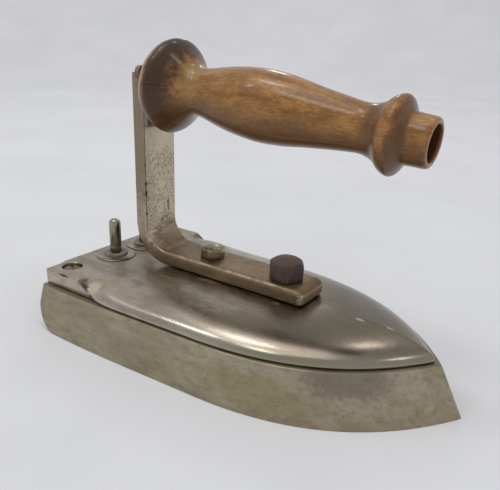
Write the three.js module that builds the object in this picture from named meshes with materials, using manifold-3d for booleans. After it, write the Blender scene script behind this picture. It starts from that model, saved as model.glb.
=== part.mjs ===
// Early plug-in electric flat iron, as an assembly of separate pieces.
// Millimetres, +Z up, nose towards +X. Everything is drawn with X measured from the heel;
// the group is then moved so that the origin is under the middle of the sole.
import * as THREE from "three";
import { mergeVertices } from "three/addons/utils/BufferGeometryUtils.js";
import Module from "manifold-3d";

const wasm = await Module();
wasm.setup();

// ---- driving dimensions ----
const SOLE_LENGTH = 176.5;
const SOLE_HALF_WIDTH = 49.6;
const SOLE_HEIGHT = 18.4;
const DECK_HEIGHT = 25.5; // flat rear deck that carries the contact pins
const CROWN_HEIGHT = 28.0; // top of the cover under the handle's foot
const BAR_WIDTH = 19;
const BAR_THICK = 6.35;
const BAR_REAR_X = 26.85;
const BAR_TOP_Z = 110.5;
const FOOT_END_X = 113.8;
const PIN_X = 12.3;
const PIN_Y = 9.6;
const CLAMP_BOLT_X = 101;
const SMALL_BOLT_X = 63.4;
const HANDLE_TILT = THREE.MathUtils.degToRad(5.1); // the grip points slightly down at the front
const HANDLE_Z = 106.1; // height of the rod's axis at the bar
const FIT = 0.3; // gap between pieces that touch
const SEAT = 0.05; // gap under a head or a washer
const CLEAR = 0.35; // radial clearance of a shank in its hole
const ROUND = 32; // sides of a large round
const SMALL_ROUND = 20;
const HOLE_ROUND = 16;
const BEYOND = 1; // how far a cutting tool reaches past the piece

// ---- derived dimensions ----
const TOP_SCALE_X = 0.945; // the sole's top edge against its bottom edge, lengthwise
const TOP_SCALE_Y = 0.88;
const COVER_SCALE_X = 0.931; // the cover's lower edge against the sole's bottom edge
const COVER_SCALE_Y = 0.853;
const FOOT_BOTTOM = CROWN_HEIGHT + FIT / 3;
const FOOT_TOP = FOOT_BOTTOM + BAR_THICK;
const BAR_FRONT_X = BAR_REAR_X + BAR_THICK;

const materials = {
  nickel: { color: 0x8a8273, roughness: 0.38, metalness: 1 },
  wornNickel: { color: 0xa39b8a, roughness: 0.42, metalness: 1 },
  brightNickel: { color: 0xaaa494, roughness: 0.28, metalness: 1 },
  darkSteel: { color: 0x4a3833, roughness: 0.7, metalness: 0.8 },
  castIron: { color: 0x4c4a47, roughness: 0.85, metalness: 0.6 },
  wood: { color: 0x8a5a2c, roughness: 0.35, metalness: 0 },
  insulator: { color: 0x2b2723, roughness: 0.6, metalness: 0 },
  mica: { color: 0xb9a885, roughness: 0.4, metalness: 0 },
  mat: { color: 0xcfcabd, roughness: 0.95, metalness: 0 },
  brass: { color: 0xb08d4a, roughness: 0.4, metalness: 1 },
  ribbon: { color: 0x77736d, roughness: 0.5, metalness: 1 },
};

const iron = new THREE.Group();
iron.position.x = -SOLE_LENGTH / 2;

function add(name, geometry, finish, parent = iron) {
  const mesh = new THREE.Mesh(geometry, new THREE.MeshStandardMaterial(materials[finish]));
  mesh.name = name;
  parent.add(mesh);
  return mesh;
}

// ---- solids ----
function toSolid(geometry) {
  const bare = geometry.clone();
  bare.deleteAttribute("normal");
  bare.deleteAttribute("uv");
  const merged = mergeVertices(bare, 1e-4);
  const index = merged.index.array;
  const kept = [];
  for (let i = 0; i < index.length; i += 3) {
    const [a, b, c] = index.slice(i, i + 3);
    if (a !== b && b !== c && c !== a) kept.push(a, b, c);
  }
  return new wasm.Manifold(new wasm.Mesh({
    numProp: 3,
    vertProperties: new Float32Array(merged.attributes.position.array),
    triVerts: new Uint32Array(kept),
  }));
}

function toGeometry(solid) {
  const mesh = solid.getMesh();
  const geometry = new THREE.BufferGeometry();
  geometry.setAttribute("position", new THREE.BufferAttribute(mesh.vertProperties, 3));
  geometry.setIndex(new THREE.BufferAttribute(mesh.triVerts, 1));
  geometry.computeVertexNormals();
  return geometry;
}

function cut(geometry, ...tools) {
  const whole = toSolid(geometry);
  return toGeometry(tools.reduce((left, tool) => left.subtract(toSolid(tool)), whole));
}

function box(x0, x1, y0, y1, z0, z1) {
  const geometry = new THREE.BoxGeometry(x1 - x0, y1 - y0, z1 - z0);
  return geometry.translate((x0 + x1) / 2, (y0 + y1) / 2, (z0 + z1) / 2);
}

// A round piece standing on Z at x, y, between two heights.
function post(x, y, radius, z0, z1, sides = ROUND) {
  const geometry = new THREE.CylinderGeometry(radius, radius, z1 - z0, sides);
  return geometry.rotateX(Math.PI / 2).translate(x, y, (z0 + z1) / 2);
}

// A turned piece standing on Z; the profile is a list of [radius, height].
function turned(profile, x, y, sides = ROUND) {
  const points = profile.map(([radius, height]) => new THREE.Vector2(radius, height));
  return new THREE.LatheGeometry(points, sides).rotateX(Math.PI / 2).translate(x, y, 0);
}

function ring(x, y, outer, inner, z0, z1, sides = ROUND) {
  return turned([[inner, z0], [outer, z0], [outer, z1], [inner, z1], [inner, z0]], x, y, sides);
}

function extrude(shape, z0, z1, curveSegments = 8) {
  const depth = z1 - z0;
  return new THREE.ExtrudeGeometry(shape, { depth, bevelEnabled: false, curveSegments }).translate(0, 0, z0);
}

// A side view in X and Z, given a width along Y about y.
function sideExtrude(shape, width, y = 0, curveSegments = 8) {
  const geometry = new THREE.ExtrudeGeometry(shape, { depth: width, bevelEnabled: false, curveSegments });
  return geometry.rotateX(Math.PI / 2).translate(0, y + width / 2, 0);
}

function hexagon(acrossFlats, turn = 0) {
  const corner = acrossFlats / Math.sqrt(3);
  const shape = new THREE.Shape();
  for (let i = 0; i < 6; i += 1) {
    const angle = turn + i * Math.PI / 3;
    const point = [corner * Math.cos(angle), corner * Math.sin(angle)];
    if (i === 0) shape.moveTo(...point);
    else shape.lineTo(...point);
  }
  return shape;
}

// ---- the boat outline ----
// The sole's bottom edge seen from above: nearly parallel sides that close into a pointed nose.
function boatOutline() {
  const wide = SOLE_HALF_WIDTH;
  const corner = 1.5;
  const shoulderX = 90;
  const shape = new THREE.Shape();
  shape.moveTo(0, -wide + corner + 0.8);
  shape.quadraticCurveTo(0, -wide + 0.8, corner, -wide + 0.8);
  shape.bezierCurveTo(35, -wide - 0.9, 55, -wide + 0.8, shoulderX, -wide + 2);
  shape.bezierCurveTo(130, -wide + 3.2, 156, -32, SOLE_LENGTH, 0);
  shape.bezierCurveTo(156, 32, 130, wide - 3.2, shoulderX, wide - 2);
  shape.bezierCurveTo(55, wide - 0.8, 35, wide + 0.9, corner, wide - 0.8);
  shape.quadraticCurveTo(0, wide - 0.8, 0, wide - corner - 0.8);
  shape.closePath();
  return shape;
}

// A body whose outline shrinks with height: each layer is [height, scaleX, scaleY].
function layered(layers, curveSegments = 7) {
  const steps = layers.length - 1;
  const options = { depth: steps, steps, bevelEnabled: false, curveSegments };
  const geometry = new THREE.ExtrudeGeometry(boatOutline(), options);
  const position = geometry.attributes.position;
  for (let i = 0; i < position.count; i += 1) {
    const [height, scaleX, scaleY] = layers[Math.round(position.getZ(i))];
    position.setXYZ(i, position.getX(i) * scaleX, position.getY(i) * scaleY, height);
  }
  return geometry;
}

// A flat sheet with the boat outline, from startX to the nose, at a fraction of the sole's size.
function boatSheet(scaleX, scaleY, startX, z0, z1) {
  const sheet = toSolid(layered([[z0, scaleX, scaleY], [z1, scaleX, scaleY]]));
  const window = toSolid(box(startX, SOLE_LENGTH, -SOLE_HALF_WIDTH, SOLE_HALF_WIDTH, z0 - 1, z1 + 1));
  return toGeometry(sheet.intersect(window));
}

// ---- heights of the stack between the sole and the cover ----
const POCKET_FLOOR = 9;
const MICA = 0.5;
const RIBBON = 0.6;
const MAT = 2;
const PLATE = 7.5;
const GAP = 0.2;
const lowerMicaZ = POCKET_FLOOR + GAP;
const ribbonZ = lowerMicaZ + MICA + GAP;
const upperMicaZ = ribbonZ + RIBBON + GAP;
const matZ = upperMicaZ + MICA + GAP;
const plateZ = matZ + MAT + GAP;
const plateTop = plateZ + PLATE;
const STACK_START_X = 27;
const STACK_SCALE_X = 0.83;
const STACK_SCALE_Y = 0.71;

// ---- fastener sizes ----
const CLAMP_SHANK = 3.9; // radius
const CLAMP_FOOT = 4.5; // the clamp bolt's lower end, inside the sole
const CLAMP_HEX = 13;
const CLAMP_HEAD_TOP = 43.9;
const SMALL_SHANK = 2.8;
const SMALL_HEX = 9.4;
const SMALL_HEAD_TOP = FOOT_TOP + 5.6;
const COVER_SCREW = {
  x: 7.6, y: 31.8, shank: 2.4, foot: 8, head: 4.1, headHigh: 2, slotWide: 1.2, turn: 0.6,
  recess: 4.5, recessDepth: 3,
};
const ROD = { radius: 2.9, headRadius: 5.6, headThick: 3, headGap: 1.2 };
const BUSHING = { neck: 4.2, collar: 5.5, top: 27.5 };
const WASHER = { outer: 9, thick: 0.6, backOuter: 7, backThick: 1.2 };
const PIN = { radius: 2.7, shank: 2, top: 43.6, nutFlats: 8, nutHigh: 2.6 };
const LEAD = { width: 6, thick: 0.8, bendX: 18.6, endX: 24.4 };
const HOLE_FOOT = 10; // holes through the cover are cut between these heights
const HOLE_TOP = 40;

// ---- sole plate: thick casting, walls leaning out to the ironing face, heel rolled up ----
function solePlate() {
  const heelRadius = 15;
  const pocketMargin = 0.03; // of the pocket round the stack, as a scale
  const pocketStart = 6;
  const rim = 12; // land left on each side of a cover screw
  const padEnd = COVER_SCREW.x + 8;
  const body = layered([[0, 1, 1], [SOLE_HEIGHT, TOP_SCALE_X, TOP_SCALE_Y]]);
  const heel = new THREE.Shape();
  heel.moveTo(-BEYOND, -BEYOND);
  heel.lineTo(heelRadius, -BEYOND);
  heel.lineTo(heelRadius, 0);
  heel.absarc(heelRadius, heelRadius, heelRadius, -Math.PI / 2, -Math.PI, true);
  heel.lineTo(-BEYOND, heelRadius);
  heel.closePath();
  const pocket = boatSheet(STACK_SCALE_X + pocketMargin, STACK_SCALE_Y + pocketMargin, pocketStart,
    POCKET_FLOOR, SOLE_HEIGHT + BEYOND);
  const pads = [-1, 1].map((side) => toSolid(
    box(0, padEnd, side * COVER_SCREW.y - rim, side * COVER_SCREW.y + rim, POCKET_FLOOR - BEYOND, SOLE_HEIGHT),
  ));
  const hollow = pads.reduce((left, pad) => left.subtract(pad), toSolid(pocket));
  const holes = [-1, 1].map((side) => post(COVER_SCREW.x, side * COVER_SCREW.y,
    COVER_SCREW.shank + CLEAR, COVER_SCREW.foot - 2, SOLE_HEIGHT + BEYOND, HOLE_ROUND));
  holes.push(post(CLAMP_BOLT_X, 0, CLAMP_SHANK + CLEAR, CLAMP_FOOT - BEYOND, SOLE_HEIGHT + BEYOND, HOLE_ROUND));
  holes.push(sideExtrude(heel, 2 * (SOLE_HALF_WIDTH + BEYOND)));
  let solid = toSolid(body).subtract(hollow);
  for (const hole of holes) solid = solid.subtract(toSolid(hole));
  return toGeometry(solid);
}
add("sole_plate", solePlate(), "nickel");

// ---- heating element stack, clamped between the sole and the pressure plate ----
function boltClearance(z0, z1) {
  return post(CLAMP_BOLT_X, 0, CLAMP_SHANK + CLEAR, z0 - BEYOND, z1 + BEYOND, HOLE_ROUND);
}

function stackSheet(name, z, thick, finish, startX = STACK_START_X) {
  const sheet = boatSheet(STACK_SCALE_X, STACK_SCALE_Y, startX, z, z + thick);
  add(name, cut(sheet, boltClearance(z, z + thick)), finish);
}
stackSheet("lower_mica_sheet", lowerMicaZ, MICA, "mica", PIN_X + 7.7);
stackSheet("upper_mica_sheet", upperMicaZ, MICA, "mica");
stackSheet("insulation_mat", matZ, MAT, "mat");

// The ribbon runs forward in zigzags on one side, crosses near the nose, and comes back.
function ribbonCentreline() {
  const inner = 8;
  const widest = 31;
  const narrowing = 16; // how much nearer the middle the outer turns come at the nose
  const firstX = 26;
  const pitch = 8;
  const rows = 12;
  const tail = 4;
  const points = [[firstX - tail, -PIN_Y], [firstX, -PIN_Y]];
  for (let row = 0; row < rows; row += 1) {
    const x = firstX + row * pitch;
    const outer = widest - narrowing * (row / rows) ** 4;
    const outward = row % 2 === 0;
    if (row > 0) points.push([x, outward ? -inner : -outer]);
    if (row < rows - 1) points.push([x, outward ? -outer : -inner]);
  }
  const back = points.slice().reverse().map(([x, y]) => [x, -y]);
  return [...points, ...back];
}

// The outline of a flat strip that follows a line whose every corner is a right angle.
function stripOutline(line, width) {
  const edge = (sign) => line.map(([x, y], i) => {
    const before = line[Math.max(i - 1, 0)];
    const after = line[Math.min(i + 1, line.length - 1)];
    const into = new THREE.Vector2(x - before[0], y - before[1]).normalize();
    const out = new THREE.Vector2(after[0] - x, after[1] - y).normalize();
    const along = into.add(out);
    return new THREE.Vector2(x - sign * along.y * width / 2, y + sign * along.x * width / 2);
  });
  return new THREE.Shape([...edge(1), ...edge(-1).reverse()]);
}
const RIBBON_WIDTH = 2.4;
const ribbonOutline = stripOutline(ribbonCentreline(), RIBBON_WIDTH);
add("heating_ribbon", extrude(ribbonOutline, ribbonZ, ribbonZ + RIBBON), "ribbon");

function pressurePlate() {
  const plate = boatSheet(STACK_SCALE_X - 0.05, STACK_SCALE_Y - 0.06, STACK_START_X + 1, plateZ, plateTop);
  const tapped = post(SMALL_BOLT_X, 0, SMALL_SHANK + CLEAR, plateZ - BEYOND, plateTop + BEYOND, HOLE_ROUND);
  return cut(plate, boltClearance(plateZ, plateTop), tapped);
}
add("pressure_plate", pressurePlate(), "castIron");

// ---- cover: hollow casting, pillow shaped, with two square lugs at the rear corners ----
const COVER_FOOT = SOLE_HEIGHT + 0.1;
const COVER_REAR_X = 0.8;
const WALL = 3;

const LUG = { outer: 40.7, inner: 22, front: 21.2, toe: 31.4 };
const DOME = { scaleX: COVER_SCALE_X, scaleY: COVER_SCALE_Y, insetX: 0.28, insetY: 0.65, layers: 9 };
const DOME_INSIDE = {
  scaleX: COVER_SCALE_X - 0.035, scaleY: COVER_SCALE_Y - 0.07, insetX: 0.26, insetY: 0.6, layers: 4,
};

// Behind its shoulder the dome stands steeper and draws in, so that its sides vanish into the lugs.
function shapeRear(geometry, skirt, top, { scaleY, insetY }) {
  const { clamp, lerp, smoothstep } = THREE.MathUtils;
  const steepness = 0.55;
  const drawnIn = 0.962;
  const position = geometry.attributes.position;
  for (let i = 0; i < position.count; i += 1) {
    const x = position.getX(i);
    const rise = clamp((position.getZ(i) - skirt) / (top - skirt), 0, 1);
    const inset = insetY * (1 - Math.sqrt(1 - rise * rise));
    const fuller = (scaleY - inset * lerp(steepness, 1, smoothstep(x, 26, 62))) / (scaleY - inset);
    const drawn = lerp(drawnIn, 1, smoothstep(x, 24, 46));
    position.setY(i, position.getY(i) * fuller * drawn);
  }
  return geometry;
}

// A rounded-over boat: straight skirt, then a quarter round to the flat top.
function dome(foot, skirt, top, size, curveSegments) {
  const layers = [[foot, size.scaleX, size.scaleY], [skirt, size.scaleX, size.scaleY]];
  for (let i = 1; i <= size.layers; i += 1) {
    const angle = (i / size.layers) * Math.PI / 2;
    const inward = 1 - Math.cos(angle);
    layers.push([
      skirt + (top - skirt) * Math.sin(angle),
      size.scaleX - size.insetX * inward,
      size.scaleY - size.insetY * inward,
    ]);
  }
  return shapeRear(layered(layers, curveSegments), skirt, top, size);
}

// Everything above the flat rear deck and the ramp that joins it to the crown.
function aboveDeck(drop) {
  const flatTo = 22.2;
  const rampTo = 52;
  const start = -5;
  const high = 60;
  const deck = DECK_HEIGHT - drop;
  const crown = CROWN_HEIGHT - drop + 0.01; // a hair above the crown, which stays whole
  const shape = new THREE.Shape();
  shape.moveTo(start, deck);
  shape.lineTo(flatTo, deck);
  shape.bezierCurveTo(flatTo + 10, deck, rampTo - 12, crown, rampTo, crown);
  shape.lineTo(rampTo, high);
  shape.lineTo(start, high);
  shape.closePath();
  return sideExtrude(shape, 2 * (SOLE_HALF_WIDTH + BEYOND), 0, 6);
}

// A square lug: flat top, upright side, front face sloping down and forward.
function coverLug(side) {
  const shape = new THREE.Shape();
  shape.moveTo(COVER_REAR_X, COVER_FOOT);
  shape.lineTo(LUG.toe, COVER_FOOT);
  shape.lineTo(LUG.front, DECK_HEIGHT);
  shape.lineTo(COVER_REAR_X, DECK_HEIGHT);
  shape.closePath();
  return sideExtrude(shape, LUG.outer - LUG.inner, side * (LUG.outer + LUG.inner) / 2);
}

// Everything behind an upright plane at the heel.
function behind(x) {
  return box(-5, x, -SOLE_HALF_WIDTH - BEYOND, SOLE_HALF_WIDTH + BEYOND, 0, HOLE_TOP);
}

function topCover() {
  const outside = dome(COVER_FOOT, COVER_FOOT + 0.5, CROWN_HEIGHT, DOME, 9);
  const inside = dome(COVER_FOOT - BEYOND, COVER_FOOT, CROWN_HEIGHT - WALL, DOME_INSIDE, 7);
  const heelWall = behind(COVER_REAR_X + WALL);
  const hollow = toSolid(inside).subtract(toSolid(aboveDeck(WALL))).subtract(toSolid(heelWall));
  let solid = toSolid(outside).subtract(toSolid(aboveDeck(0)));
  solid = solid.add(toSolid(coverLug(-1))).add(toSolid(coverLug(1))).subtract(hollow);
  solid = solid.subtract(toSolid(behind(COVER_REAR_X)));
  const holes = [
    post(CLAMP_BOLT_X, 0, CLAMP_SHANK + CLEAR, HOLE_FOOT, HOLE_TOP, HOLE_ROUND),
    post(SMALL_BOLT_X, 0, SMALL_SHANK + CLEAR, HOLE_FOOT, HOLE_TOP, HOLE_ROUND),
  ];
  const recessFloor = DECK_HEIGHT - COVER_SCREW.recessDepth;
  for (const side of [-1, 1]) {
    const screwY = side * COVER_SCREW.y;
    holes.push(post(PIN_X, side * PIN_Y, BUSHING.neck + CLEAR, HOLE_FOOT, HOLE_TOP, 24));
    holes.push(post(COVER_SCREW.x, screwY, COVER_SCREW.shank + CLEAR, HOLE_FOOT, HOLE_TOP, HOLE_ROUND));
    holes.push(post(COVER_SCREW.x, screwY, COVER_SCREW.recess, recessFloor, HOLE_TOP, 24));
  }
  for (const hole of holes) solid = solid.subtract(toSolid(hole));
  return toGeometry(solid);
}
add("top_cover", topCover(), "nickel");

// ---- contact pins and their insulation ----
const DECK_UNDER = DECK_HEIGHT - WALL;
const THREAD_GAP = 0.1; // of a nut round its thread

function contactSet(sideName, side) {
  const y = side * PIN_Y;
  const bore = PIN.shank + CLEAR;
  const washerZ = DECK_HEIGHT + SEAT;
  const washerTop = washerZ + WASHER.thick;
  const collarZ = washerTop + SEAT;
  const backTop = DECK_UNDER - 2 * SEAT;
  const backZ = backTop - WASHER.backThick;
  const neckZ = backTop + 0.2;
  const nutTop = backZ - SEAT;
  const nutFoot = nutTop - PIN.nutHigh;
  const leadTop = nutFoot - SEAT;
  const shankFoot = leadTop - LEAD.thick - 0.4;
  const washer = ring(PIN_X, y, WASHER.outer, BUSHING.neck + CLEAR, washerZ, washerTop);
  add(`pin_washer_${sideName}`, washer, "wornNickel");
  const bushing = [
    [bore, neckZ], [BUSHING.neck, neckZ], [BUSHING.neck, collarZ],
    [BUSHING.collar, collarZ], [BUSHING.collar, BUSHING.top - 0.5],
    [BUSHING.collar - 0.5, BUSHING.top], [bore, BUSHING.top], [bore, neckZ],
  ];
  add(`pin_bushing_${sideName}`, turned(bushing, PIN_X, y, 24), "insulator");
  const pinFoot = BUSHING.top + SEAT;
  const pin = [
    [0, shankFoot], [PIN.shank, shankFoot], [PIN.shank, pinFoot],
    [PIN.radius, pinFoot], [PIN.radius, PIN.top - 1.6],
    [PIN.radius * 0.8, PIN.top - 0.6], [PIN.radius * 0.4, PIN.top - 0.1], [0, PIN.top],
  ];
  add(`contact_pin_${sideName}`, turned(pin, PIN_X, y, SMALL_ROUND), "brightNickel");
  add(`pin_backing_washer_${sideName}`, ring(PIN_X, y, WASHER.backOuter, bore, backZ, backTop, 24), "mica");
  const nut = extrude(hexagon(PIN.nutFlats), nutFoot, nutTop).translate(PIN_X, y, 0);
  const thread = post(PIN_X, y, PIN.shank + THREAD_GAP, nutFoot - BEYOND, nutTop + BEYOND, SMALL_ROUND);
  add(`pin_nut_${sideName}`, cut(nut, thread), "brass");
  add(`lead_strip_${sideName}`, leadStrip(y, leadTop), "brass");
}

// A bent strip from under the pin's nut down to the end of the ribbon.
function leadStrip(y, top) {
  const { width, thick, bendX, endX } = LEAD;
  const rear = PIN_X - 4.5;
  const foot = ribbonZ + RIBBON + 2 * SEAT;
  const shape = new THREE.Shape();
  shape.moveTo(rear, top);
  shape.lineTo(rear, top - thick);
  shape.lineTo(bendX, top - thick);
  shape.lineTo(bendX, foot);
  shape.lineTo(endX, foot);
  shape.lineTo(endX, foot + thick);
  shape.lineTo(bendX + thick, foot + thick);
  shape.lineTo(bendX + thick, top);
  shape.closePath();
  const hole = post(PIN_X, y, PIN.shank + 2 * THREAD_GAP, top - thick - BEYOND, top + BEYOND, HOLE_ROUND);
  return cut(sideExtrude(shape, width, y), hole);
}
contactSet("right", -1);
contactSet("left", 1);

// ---- cover screws, sunk in the lugs ----
function coverScrew(side) {
  const { x, y, shank, foot, head, headHigh, slotWide, turn } = COVER_SCREW;
  const seat = DECK_HEIGHT - COVER_SCREW.recessDepth + SEAT;
  const top = seat + headHigh;
  const profile = [
    [0, foot], [shank, foot], [shank, seat], [head, seat], [head, top - 0.5], [head - 0.6, top], [0, top],
  ];
  const reach = head + BEYOND;
  const slot = box(-reach, reach, -slotWide / 2, slotWide / 2, top - 1, top + BEYOND);
  return cut(turned(profile, 0, 0, 24), slot.rotateZ(side * turn)).translate(x, side * y, 0);
}
add("cover_screw_right", coverScrew(-1), "nickel");
add("cover_screw_left", coverScrew(1), "nickel");

// ---- handle bracket: flat bar, foot on the cover, bent up at the heel ----
const INNER_BEND = 11;

// A tool for the rod's hole, along the tilted axis of the handle.
function rodHole(clearance) {
  const radius = ROD.radius + clearance;
  const reach = 30;
  return new THREE.CylinderGeometry(radius, radius, reach, SMALL_ROUND)
    .rotateZ(Math.PI / 2).rotateY(HANDLE_TILT).translate(BAR_FRONT_X, 0, HANDLE_Z);
}

function handleBracket() {
  const outerBend = INNER_BEND + BAR_THICK;
  const centreX = BAR_FRONT_X + INNER_BEND;
  const centreZ = FOOT_TOP + INNER_BEND;
  const shape = new THREE.Shape();
  shape.moveTo(BAR_REAR_X, BAR_TOP_Z);
  shape.lineTo(BAR_REAR_X, centreZ);
  shape.absarc(centreX, centreZ, outerBend, Math.PI, 1.5 * Math.PI, false);
  shape.lineTo(FOOT_END_X, FOOT_BOTTOM);
  shape.lineTo(FOOT_END_X, FOOT_TOP);
  shape.lineTo(centreX, FOOT_TOP);
  shape.absarc(centreX, centreZ, INNER_BEND, 1.5 * Math.PI, Math.PI, true);
  shape.lineTo(BAR_FRONT_X, BAR_TOP_Z);
  shape.closePath();
  return cut(
    sideExtrude(shape, BAR_WIDTH, 0, 8),
    rodHole(CLEAR),
    post(SMALL_BOLT_X, 0, SMALL_SHANK + CLEAR, HOLE_FOOT, HOLE_TOP, HOLE_ROUND),
    post(CLAMP_BOLT_X, 0, CLAMP_SHANK + CLEAR, HOLE_FOOT, HOLE_TOP, HOLE_ROUND),
  );
}
add("handle_bracket", handleBracket(), "wornNickel");

// ---- bolts through the foot ----
// A hexagon head whose top is rounded off by a dome, on a plain shank.
function hexBolt({ x, shank, foot, top, flats, domeRadius, turn }) {
  const seat = FOOT_TOP + SEAT;
  const head = toSolid(extrude(hexagon(flats, turn), seat, top));
  const ball = new THREE.SphereGeometry(domeRadius, ROUND, 24).rotateX(Math.PI / 2);
  const domed = head.intersect(toSolid(ball.translate(0, 0, top - domeRadius)));
  const whole = domed.add(toSolid(post(0, 0, shank, foot, seat + BEYOND, HOLE_ROUND)));
  return toGeometry(whole).translate(x, 0, 0);
}
add("clamp_bolt", hexBolt({
  x: CLAMP_BOLT_X, shank: CLAMP_SHANK, foot: CLAMP_FOOT, top: CLAMP_HEAD_TOP,
  flats: CLAMP_HEX, domeRadius: 10.5, turn: 0.12,
}), "darkSteel");
add("bracket_bolt", hexBolt({
  x: SMALL_BOLT_X, shank: SMALL_SHANK, foot: plateZ + 1, top: SMALL_HEAD_TOP,
  flats: SMALL_HEX, domeRadius: 8.5, turn: -0.2,
}), "nickel");

// ---- handle: a through rod holds the turned grip against the bar ----
const handle = new THREE.Group();
handle.position.set(BAR_FRONT_X, 0, HANDLE_Z);
handle.rotation.y = HANDLE_TILT;
iron.add(handle);

// A turned piece lying along the rod; the profile is a list of [radius, distance from the bar].
function turnedAlong(profile, sides = ROUND) {
  return turned(profile, 0, 0, sides).rotateY(Math.PI / 2);
}

const GRIP_START = 0.9;
const GRIP_END = 120.4;
const BORE = { radius: 6.4, depth: 26 };
const SPACER = { thick: 2.2, foot: 88.5, top: 113.5, halfWide: 14 };
const ROD_WASHER = { outer: 5.8, thick: 1.2 };
const ROD_NUT = { flats: 9.5, thick: 5 };

function woodenGrip() {
  const flange = [
    [13, GRIP_START], [14.8, 2.6], [16.6, 4.4], [18.3, 6.8], [19.1, 9.4], [18.8, 11.2], [17.2, 13.4],
    [14.4, 16.2], [11.9, 18.8], [10.2, 21.4],
  ];
  const swell = [
    [9.6, 24.4], [10.1, 28.5], [11.3, 34], [12.6, 41], [13.4, 48.5], [13.7, 56], [12.9, 65.5], [11.4, 74.5],
    [10.1, 83.5], [9.1, 91.5], [8.8, 96],
  ];
  const bead = [
    [9.5, 99.8], [10.7, 102.4], [12.9, 105], [13.9, 107.6], [13.2, 109.2], [11.2, 110.5], [9.3, 111.8],
  ];
  const nozzle = [[8.9, 114], [8.7, 118.4], [8.4, GRIP_END - 0.6], [8, GRIP_END]];
  const innards = [
    [BORE.radius, GRIP_END], [BORE.radius, GRIP_END - BORE.depth],
    [ROD.radius + CLEAR, GRIP_END - BORE.depth], [ROD.radius + CLEAR, GRIP_START], flange[0],
  ];
  // The rear face is cut parallel to the bar, so that it bears on the spacer all over.
  const reach = 40;
  const trim = box(-reach, SPACER.thick + FIT, -reach, reach, -reach, reach).rotateY(-HANDLE_TILT);
  return cut(turnedAlong([...flange, ...swell, ...bead, ...nozzle, ...innards]), trim);
}
add("wooden_grip", woodenGrip(), "wood", handle);

// A fibre plate keeps the hot bar off the wood.
function gripSpacer() {
  const { thick, foot, top, halfWide } = SPACER;
  const narrow = BAR_WIDTH / 2;
  const corner = 1.5;
  const outline = [
    [narrow, foot], [narrow, foot + 7.5], [halfWide, foot + 17.5],
    [halfWide, top - corner], [halfWide - corner, top],
  ];
  const mirrored = outline.slice().reverse().map(([y, z]) => [-y, z]);
  const shape = new THREE.Shape([...outline, ...mirrored].map(([y, z]) => new THREE.Vector2(y, z)));
  const plate = new THREE.ExtrudeGeometry(shape, { depth: thick - SEAT, bevelEnabled: false })
    .rotateX(Math.PI / 2).rotateZ(Math.PI / 2).translate(BAR_FRONT_X + SEAT, 0, 0);
  return cut(plate, rodHole(2 * CLEAR));
}
add("grip_spacer", gripSpacer(), "insulator");

const boreFloor = GRIP_END - BORE.depth;
const washerStart = boreFloor + 2 * SEAT;
const washerEnd = washerStart + ROD_WASHER.thick;
const nutStart = washerEnd + 2 * SEAT;
const nutEnd = nutStart + ROD_NUT.thick;
const rodEnd = nutEnd + 2;
const headFront = -BAR_THICK - ROD.headGap;
const headRear = headFront - ROD.headThick;
const rodProfile = [
  [0, headRear], [ROD.headRadius * 0.46, headRear + 0.2], [ROD.headRadius * 0.82, headRear + 1.2],
  [ROD.headRadius, headFront - 0.4], [ROD.headRadius, headFront],
  [ROD.radius, headFront], [ROD.radius, rodEnd], [0, rodEnd],
];
add("handle_rod", turnedAlong(rodProfile, SMALL_ROUND), "brightNickel", handle);
const rodWasher = ring(0, 0, ROD_WASHER.outer, ROD.radius + CLEAR, washerStart, washerEnd, SMALL_ROUND);
add("rod_washer", rodWasher.rotateY(Math.PI / 2), "wornNickel", handle);
const rodThread = post(0, 0, ROD.radius + THREAD_GAP, nutStart - BEYOND, nutEnd + BEYOND, SMALL_ROUND);
const rodNut = cut(extrude(hexagon(ROD_NUT.flats), nutStart, nutEnd), rodThread);
add("rod_nut", rodNut.rotateY(Math.PI / 2), "darkSteel", handle);

export default iron;
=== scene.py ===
import math

import bmesh
import bpy
from mathutils import Matrix, Vector


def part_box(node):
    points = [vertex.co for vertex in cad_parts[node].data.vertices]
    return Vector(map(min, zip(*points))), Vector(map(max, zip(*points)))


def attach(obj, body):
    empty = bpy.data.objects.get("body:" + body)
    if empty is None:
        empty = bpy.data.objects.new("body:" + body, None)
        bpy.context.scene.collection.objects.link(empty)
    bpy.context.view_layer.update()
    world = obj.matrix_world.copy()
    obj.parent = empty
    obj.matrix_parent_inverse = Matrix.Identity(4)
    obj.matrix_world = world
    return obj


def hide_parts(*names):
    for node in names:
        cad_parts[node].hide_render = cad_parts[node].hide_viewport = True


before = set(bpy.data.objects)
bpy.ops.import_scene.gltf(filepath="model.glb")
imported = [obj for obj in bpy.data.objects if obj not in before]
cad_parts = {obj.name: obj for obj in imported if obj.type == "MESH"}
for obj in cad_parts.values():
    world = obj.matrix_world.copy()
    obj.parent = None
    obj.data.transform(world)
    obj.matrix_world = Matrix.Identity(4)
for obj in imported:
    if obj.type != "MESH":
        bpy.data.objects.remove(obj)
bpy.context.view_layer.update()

# Everything is built in metres in the CAD frame: nose towards +X, +Z up, floor at z = 0.
MM = 0.001

# ---- sizes taken from the frame ----
SOLE_LO, SOLE_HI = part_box("sole_plate")
COVER_LO, COVER_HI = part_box("top_cover")
BAR_LO, BAR_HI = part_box("handle_bracket")
SPACER_LO, SPACER_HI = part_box("grip_spacer")

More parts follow.
